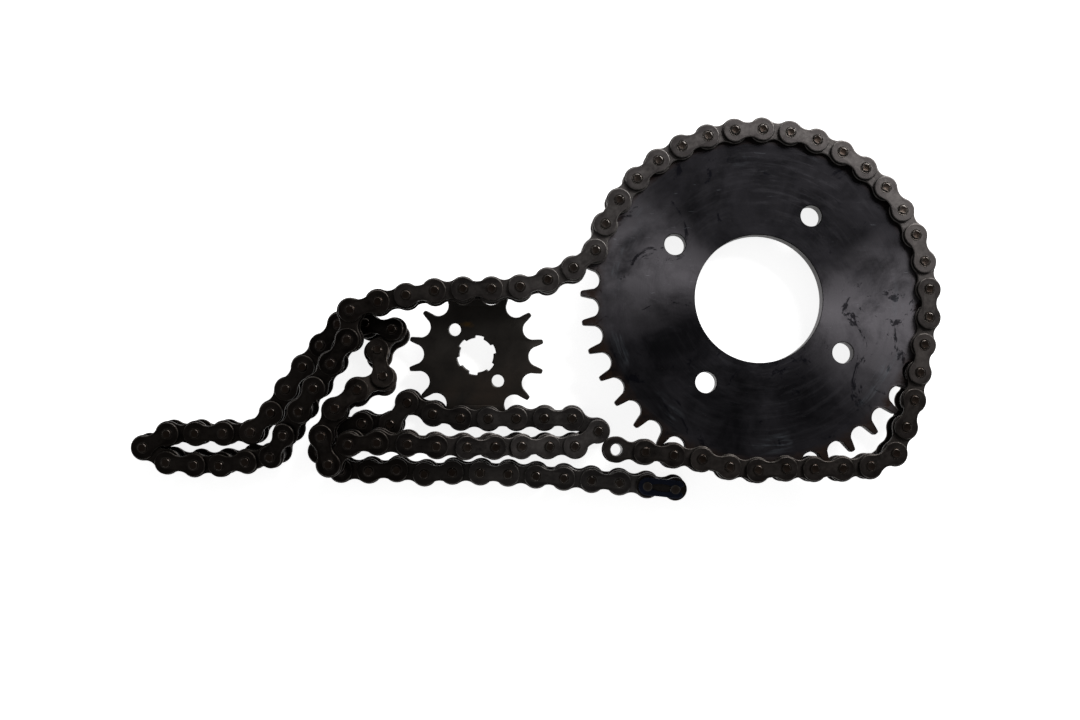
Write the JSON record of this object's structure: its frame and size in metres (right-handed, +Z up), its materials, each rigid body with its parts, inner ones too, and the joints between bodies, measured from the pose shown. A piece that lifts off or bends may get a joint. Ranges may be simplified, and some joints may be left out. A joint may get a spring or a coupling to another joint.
{
  "type": "roller chain and sprocket set",
  "caption": "Motorcycle roller chain laid out flat, part wrapped round a large rear sprocket, with a spring-clip connecting link and a small loose front sprocket.",
  "frame": {"origin": "centre of the bounding box, on the ground the set lies on", "axes": "+Z up, along the pins of the links that lie flat; +X along the set's length, from the loose folds towards the rear sprocket; +Y across, towards the strand that leaves the top of the sprocket"},
  "size_m": [0.3678, 0.1742, 0.0325],
  "materials": {
    "chain_steel": "oiled, lightly worn and stained",
    "bare_steel": "worn bright",
    "blued_steel": "blued spring steel",
    "black_oxide": "blackened, scuffed",
    "grey_steel": "dull grey, stained"
  },
  "bodies": {
    "rear_sprocket": {"rear_sprocket": "black_oxide"},
    "front_sprocket": {"front_sprocket": "grey_steel"},
    "links_021_025": {"links_021_025": "chain_steel"},
    "links_025_029": {"links_025_029": "chain_steel"},
    "links_029_033": {"links_029_033": "chain_steel"},
    "links_033_035": {"links_033_035": "chain_steel"},
    "links_035_037": {"links_035_037": "chain_steel"},
    "links_037_039": {"links_037_039": "chain_steel"},
    "links_039_041": {"links_039_041": "chain_steel"},
    "links_041_043": {"links_041_043": "chain_steel"},
    "links_043_045": {"links_043_045": "chain_steel"},
    "links_045_047": {"links_045_047": "chain_steel"},
    "links_047_049": {"links_047_049": "chain_steel"},
    "links_049_051": {"links_049_051": "chain_steel"},
    "links_051_053": {"links_051_053": "chain_steel"},
    "links_053_055": {"links_053_055": "chain_steel"},
    "links_055_057": {"links_055_057": "chain_steel"},
    "links_057_059": {"links_057_059": "chain_steel"},
    "links_059_061": {"links_059_061": "chain_steel"},
    "links_061_063": {"links_061_063": "chain_steel"},
    "links_063_065": {"links_063_065": "chain_steel"},
    "links_065_067": {"links_065_067": "chain_steel"},
    "links_067_069": {"links_067_069": "chain_steel"},
    "links_069_071": {"links_069_071": "chain_steel"},
    "links_071_073": {"links_071_073": "chain_steel"},
    "links_073_075": {"links_073_075": "chain_steel"},
    "links_075_077": {"links_075_077": "chain_steel"},
    "links_077_079": {"links_077_079": "chain_steel"},
    "links_079_081": {"links_079_081": "chain_steel"},
    "links_081_083": {"links_081_083": "chain_steel"},
    "links_083_085": {"links_083_085": "chain_steel"},
    "links_085_087": {"links_085_087": "chain_steel"},
    "links_087_089": {"links_087_089": "chain_steel"},
    "links_089_091": {"links_089_091": "chain_steel"},
    "links_091_093": {"links_091_093": "chain_steel"},
    "links_093_095": {"links_093_095": "chain_steel"},
    "links_095_097": {"links_095_097": "chain_steel"},
    "links_097_099": {"links_097_099": "chain_steel"},
    "links_099_101": {"links_099_101": "chain_steel"},
    "links_101_103": {"links_101_103": "chain_steel"},
    "inner_link_103_104": {"inner_link_103_104": "chain_steel"},
    "connecting_link": {"connecting_link_pins": "chain_steel", "connecting_link_plate": "chain_steel"},
    "spring_clip": {"spring_clip": "blued_steel"},
    "links_017_021": {"links_017_021": "chain_steel"},
    "links_015_017": {"links_015_017": "chain_steel"},
    "links_013_015": {"links_013_015": "chain_steel"},
    "links_011_013": {"links_011_013": "chain_steel"},
    "links_009_011": {"links_009_011": "chain_steel"},
    "links_007_009": {"links_007_009": "chain_steel"},
    "links_005_007": {"links_005_007": "chain_steel"},
    "links_003_005": {"links_003_005": "chain_steel"},
    "outer_link_002_003": {"outer_link_002_003": "chain_steel"},
    "end_link": {"end_inner_plate_top": "chain_steel", "end_inner_plate_bottom": "chain_steel", "end_bush_1": "bare_steel", "end_bush_2": "bare_steel"},
    "end_roller_1": {"end_roller_1": "bare_steel"},
    "end_roller_2": {"end_roller_2": "bare_steel"}
  },
  "joints": [
    {"name": "ring_on_sprocket", "type": "hinge", "parent": "rear_sprocket", "child": "links_021_025", "pos_m": [0.10112, 0.00425, 0.01577], "axis": [0.047, 0.0845, 0.9953], "range_deg": [-0.17, 0.21]},
    {"name": "pin_025", "type": "hinge", "parent": "links_021_025", "child": "links_025_029", "pos_m": [0.11582, 0.07939, 0.00869], "axis": [0.047, 0.0845, 0.9953], "range_deg": [-0.17, 0.09]},
    {"name": "pin_029", "type": "hinge", "parent": "links_025_029", "child": "links_029_033", "pos_m": [0.06642, 0.07274, 0.01159], "axis": [-0.047, -0.0845, -0.9953], "range_deg": [-0.17, 0.21]},
    {"name": "pin_033", "type": "hinge", "parent": "links_029_033", "child": "links_033_035", "pos_m": [0.03165, 0.0372, 0.01625], "axis": [0.047, 0.0845, 0.9953], "range_deg": [-0.17, 0.42]},
    {"name": "pin_035", "type": "hinge", "parent": "links_033_035", "child": "links_035_037", "pos_m": [0.01733, 0.01746, 0.01861], "axis": [-0.047, -0.0844, -0.9953], "range_deg": [-0.25, 0.42]},
    {"name": "pin_037", "type": "hinge", "parent": "links_035_037", "child": "links_037_039", "pos_m": [-0.00644, 0.00901, 0.02045], "axis": [0.047, 0.0845, 0.9953], "range_deg": [-0.25, 0.42]},
    {"name": "pin_039", "type": "hinge", "parent": "links_037_039", "child": "links_039_041", "pos_m": [-0.03178, 0.00805, 0.02172], "axis": [-0.047, -0.0845, -0.9953], "range_deg": [-0.25, 0.42]},
    {"name": "pin_041", "type": "hinge", "parent": "links_039_041", "child": "links_041_043", "pos_m": [-0.05695, 0.00521, 0.02315], "axis": [0.047, 0.0845, 0.9953], "range_deg": [-0.25, 0.42]},
    {"name": "pin_043", "type": "hinge", "parent": "links_041_043", "child": "links_043_045", "pos_m": [-0.08145, -0.00116, 0.02489], "axis": [-0.0631, -0.0418, -0.9971], "range_deg": [-0.25, 0.85]},
    {"name": "pin_045", "type": "hinge", "parent": "links_043_045", "child": "links_045_047", "pos_m": [-0.08957, -0.02421, 0.0245], "axis": [-0.0132, -0.0316, 0.9994], "range_deg": [-1.33, 0.42]},
    {"name": "pin_047", "type": "hinge", "parent": "links_045_047", "child": "links_047_049", "pos_m": [-0.10373, -0.045, 0.0211], "axis": [0.1086, 0.1283, -0.9858], "range_deg": [-0.25, 1.27]},
    {"name": "pin_049", "type": "hinge", "parent": "links_047_049", "child": "links_049_051", "pos_m": [-0.11735, -0.0654, 0.01452], "axis": [-0.2008, -0.207, 0.9575], "range_deg": [-0.44, 0.42]},
    {"name": "pin_051", "type": "hinge", "parent": "links_049_051", "child": "links_051_053", "pos_m": [-0.1417, -0.07028, 0.00942], "axis": [0.1506, 0.1179, -0.9815], "range_deg": [-0.25, 0.42]},
    {"name": "pin_053", "type": "hinge", "parent": "links_051_053", "child": "links_053_055", "pos_m": [-0.16698, -0.06954, 0.00773], "axis": [-0.0379, -0.0542, 0.9978], "range_deg": [-0.25, 0.21]},
    {"name": "pin_055", "type": "hinge", "parent": "links_053_055", "child": "links_055_057", "pos_m": [-0.16688, -0.0569, 0.00773], "axis": [-0.0045, 0.0081, -1], "range_deg": [-0.17, 0.85]},
    {"name": "pin_057", "type": "hinge", "parent": "links_055_057", "child": "links_057_059", "pos_m": [-0.14148, -0.05664, 0.00773], "axis": [0, 0.002, 1], "range_deg": [-0.44, 0.42]},
    {"name": "pin_059", "type": "hinge", "parent": "links_057_059", "child": "links_059_061", "pos_m": [-0.11959, -0.04739, 0.00773], "axis": [0.0119, -0.0125, -0.9999], "range_deg": [-0.25, 0.85]},
    {"name": "pin_061", "type": "hinge", "parent": "links_059_061", "child": "links_061_063", "pos_m": [-0.10494, -0.02667, 0.00773], "axis": [-0.04, 0.0306, 0.9987], "range_deg": [-1.11, 0.42]},
    {"name": "pin_063", "type": "hinge", "parent": "links_061_063", "child": "links_063_065", "pos_m": [-0.08836, -0.00742, 0.00791], "axis": [0.0902, -0.0581, -0.9942], "range_deg": [-0.25, 1.27]},
    {"name": "pin_065", "type": "hinge", "parent": "links_063_065", "child": "links_065_067", "pos_m": [-0.06351, -0.0109, 0.01118], "axis": [-0.119, 0.2297, 0.966], "range_deg": [-0.78, 0.42]},
    {"name": "pin_067", "type": "hinge", "parent": "links_065_067", "child": "links_067_069", "pos_m": [-0.06791, -0.0325, 0.01829], "axis": [-0.0573, -0.3311, -0.9419], "range_deg": [-0.72, 1.27]},
    {"name": "pin_069", "type": "hinge", "parent": "links_067_069", "child": "links_069_071", "pos_m": [-0.08868, -0.04555, 0.02362], "axis": [0.0875, 0.1572, 0.9837], "range_deg": [-2.17, 0.85]},
    {"name": "pin_071", "type": "hinge", "parent": "links_069_071", "child": "links_071_073", "pos_m": [-0.0907, -0.06918, 0.02492], "axis": [-0.0277, -0.0229, -0.9994], "range_deg": [-0.36, 2.12]},
    {"name": "pin_073", "type": "hinge", "parent": "links_071_073", "child": "links_073_075", "pos_m": [-0.06914, -0.05941, 0.02492], "axis": [0.0001, -0.0019, 1], "range_deg": [-3.61, 0.85]},
    {"name": "pin_075", "type": "hinge", "parent": "links_073_075", "child": "links_075_077", "pos_m": [-0.0439, -0.06123, 0.02302], "axis": [-0.1128, 0.0005, -0.9936], "range_deg": [-1.44, 3.4]},
    {"name": "pin_077", "type": "hinge", "parent": "links_075_077", "child": "links_077_079", "pos_m": [-0.01919, -0.06213, 0.01731], "axis": [0.2625, 0.0018, 0.9649], "range_deg": [-2.17, 2.55]},
    {"name": "pin_079", "type": "hinge", "parent": "links_077_079", "child": "links_079_081", "pos_m": [0.00532, -0.06251, 0.0107], "axis": [-0.2252, -0.0098, -0.9743], "range_deg": [-1.44, 1.27]},
    {"name": "pin_081", "type": "hinge", "parent": "links_079_081", "child": "links_081_083", "pos_m": [0.02854, -0.05575, 0.00784], "axis": [0.0734, 0.0244, 0.997], "range_deg": [-0.72, 0.85]},
    {"name": "pin_083", "type": "hinge", "parent": "links_081_083", "child": "links_083_085", "pos_m": [0.00449, -0.04994, 0.00773], "axis": [-0.0002, -0.0271, -0.9996], "range_deg": [-1.81, 1.27]},
    {"name": "pin_085", "type": "hinge", "parent": "links_083_085", "child": "links_085_087", "pos_m": [-0.02091, -0.05006, 0.00773], "axis": [-0.0001, 0.0133, 0.9999], "range_deg": [-2.89, 5.1]},
    {"name": "pin_087", "type": "hinge", "parent": "links_085_087", "child": "links_087_089", "pos_m": [-0.04616, -0.04787, 0.00773], "axis": [-0.0008, -0.0052, -1], "range_deg": [-2.17, 5.95]},
    {"name": "pin_089", "type": "hinge", "parent": "links_087_089", "child": "links_089_091", "pos_m": [-0.06567, -0.05262, 0.00773], "axis": [-0.0003, 0.0002, 1], "range_deg": [-7.22, 1.7]},
    {"name": "pin_091", "type": "hinge", "parent": "links_089_091", "child": "links_091_093", "pos_m": [-0.09094, -0.05405, 0.00773], "axis": [0, -0.0001, -1], "range_deg": [-1.08, 20.4]},
    {"name": "pin_093", "type": "hinge", "parent": "links_091_093", "child": "links_093_095", "pos_m": [-0.08797, -0.07344, 0.00773], "axis": [0, 0, 1], "range_deg": [-20.4, 1.7]},
    {"name": "pin_095", "type": "hinge", "parent": "links_093_095", "child": "links_095_097", "pos_m": [-0.06258, -0.0732, 0.00773], "axis": [0, 0, -1], "range_deg": [-2.55, 20.4]},
    {"name": "pin_097", "type": "hinge", "parent": "links_095_097", "child": "links_097_099", "pos_m": [-0.03735, -0.07429, 0.00773], "axis": [0, 0, 1], "range_deg": [-20.4, 3.4]},
    {"name": "pin_099", "type": "hinge", "parent": "links_097_099", "child": "links_099_101", "pos_m": [-0.01197, -0.07516, 0.00773], "axis": [0, 0, -1], "range_deg": [-7.65, 20.4]},
    {"name": "pin_101", "type": "hinge", "parent": "links_099_101", "child": "links_101_103", "pos_m": [0.01337, -0.077, 0.00773], "axis": [0, 0, 1], "range_deg": [-20.4, 11.47]},
    {"name": "pin_103", "type": "hinge", "parent": "links_101_103", "child": "inner_link_103_104", "pos_m": [0.03867, -0.07918, 0.00773], "axis": [0, 0, -1], "range_deg": [-20.4, 20.4]},
    {"name": "pin_104", "type": "hinge", "parent": "inner_link_103_104", "child": "connecting_link", "pos_m": [0.0513, -0.08049, 0.00773], "axis": [0, 0, 1], "range_deg": [-20.4, 20.4]},
    {"name": "clip_slide", "type": "slide", "parent": "connecting_link", "child": "spring_clip", "axis": [-0.9943, 0.1067, 0], "range_m": [0, 0.012]},
    {"name": "pin_021", "type": "hinge", "parent": "links_021_025", "child": "links_017_021", "pos_m": [0.15903, 0.05436, 0.00878], "axis": [0.047, 0.0845, 0.9953], "range_deg": [-0.09, 0.09]},
    {"name": "pin_017", "type": "hinge", "parent": "links_017_021", "child": "links_015_017", "pos_m": [0.17782, 0.00819, 0.01181], "axis": [-0.047, -0.0845, -0.9953], "range_deg": [-0.21, 0.09]},
    {"name": "pin_015", "type": "hinge", "parent": "links_015_017", "child": "links_013_015", "pos_m": [0.17504, -0.01687, 0.01407], "axis": [0.047, 0.0845, 0.9953], "range_deg": [-0.09, 0.21]},
    {"name": "pin_013", "type": "hinge", "parent": "links_013_015", "child": "links_011_013", "pos_m": [0.17002, -0.04166, 0.01641], "axis": [-0.047, -0.0845, -0.9953], "range_deg": [-0.42, 0.09]},
    {"name": "pin_011", "type": "hinge", "parent": "links_011_013", "child": "links_009_011", "pos_m": [0.16107, -0.06527, 0.01883], "axis": [0.047, 0.0845, 0.9953], "range_deg": [-0.09, 1.27]},
    {"name": "pin_009", "type": "hinge", "parent": "links_009_011", "child": "links_007_009", "pos_m": [0.13707, -0.07186, 0.02053], "axis": [-0.047, -0.0845, -0.9953], "range_deg": [-20.4, 0.21]},
    {"name": "pin_007", "type": "hinge", "parent": "links_007_009", "child": "links_005_007", "pos_m": [0.1117, -0.07169, 0.02171], "axis": [0.047, 0.0845, 0.9953], "range_deg": [-0.21, 20.4]},
    {"name": "pin_005", "type": "hinge", "parent": "links_005_007", "child": "links_003_005", "pos_m": [0.08642, -0.0709, 0.02284], "axis": [-0.047, -0.0845, -0.9953], "range_deg": [-20.4, 0.85]},
    {"name": "pin_003", "type": "hinge", "parent": "links_003_005", "child": "outer_link_002_003", "pos_m": [0.06164, -0.06565, 0.02356], "axis": [0.047, 0.0845, 0.9953], "range_deg": [-20.4, 20.4]},
    {"name": "pin_002", "type": "hinge", "parent": "outer_link_002_003", "child": "end_link", "pos_m": [0.04905, -0.06411, 0.02403], "axis": [-0.047, -0.0845, -0.9953], "range_deg": [-20.4, 20.4]},
    {"name": "end_roller_1_spin", "type": "hinge", "parent": "end_link", "child": "end_roller_1", "pos_m": [0.0364, -0.063, 0.02453], "axis": [0.047, 0.0845, 0.9953], "continuous": true},
    {"name": "end_roller_2_spin", "type": "hinge", "parent": "end_link", "child": "end_roller_2", "pos_m": [0.04905, -0.06411, 0.02403], "axis": [0.047, 0.0845, 0.9953], "continuous": true},
    {"name": "front_sprocket_out", "type": "slide", "parent": "rear_sprocket", "child": "front_sprocket", "axis": [0.02, 0.9998, 0], "range_m": [0, 0.025]}
  ]
}
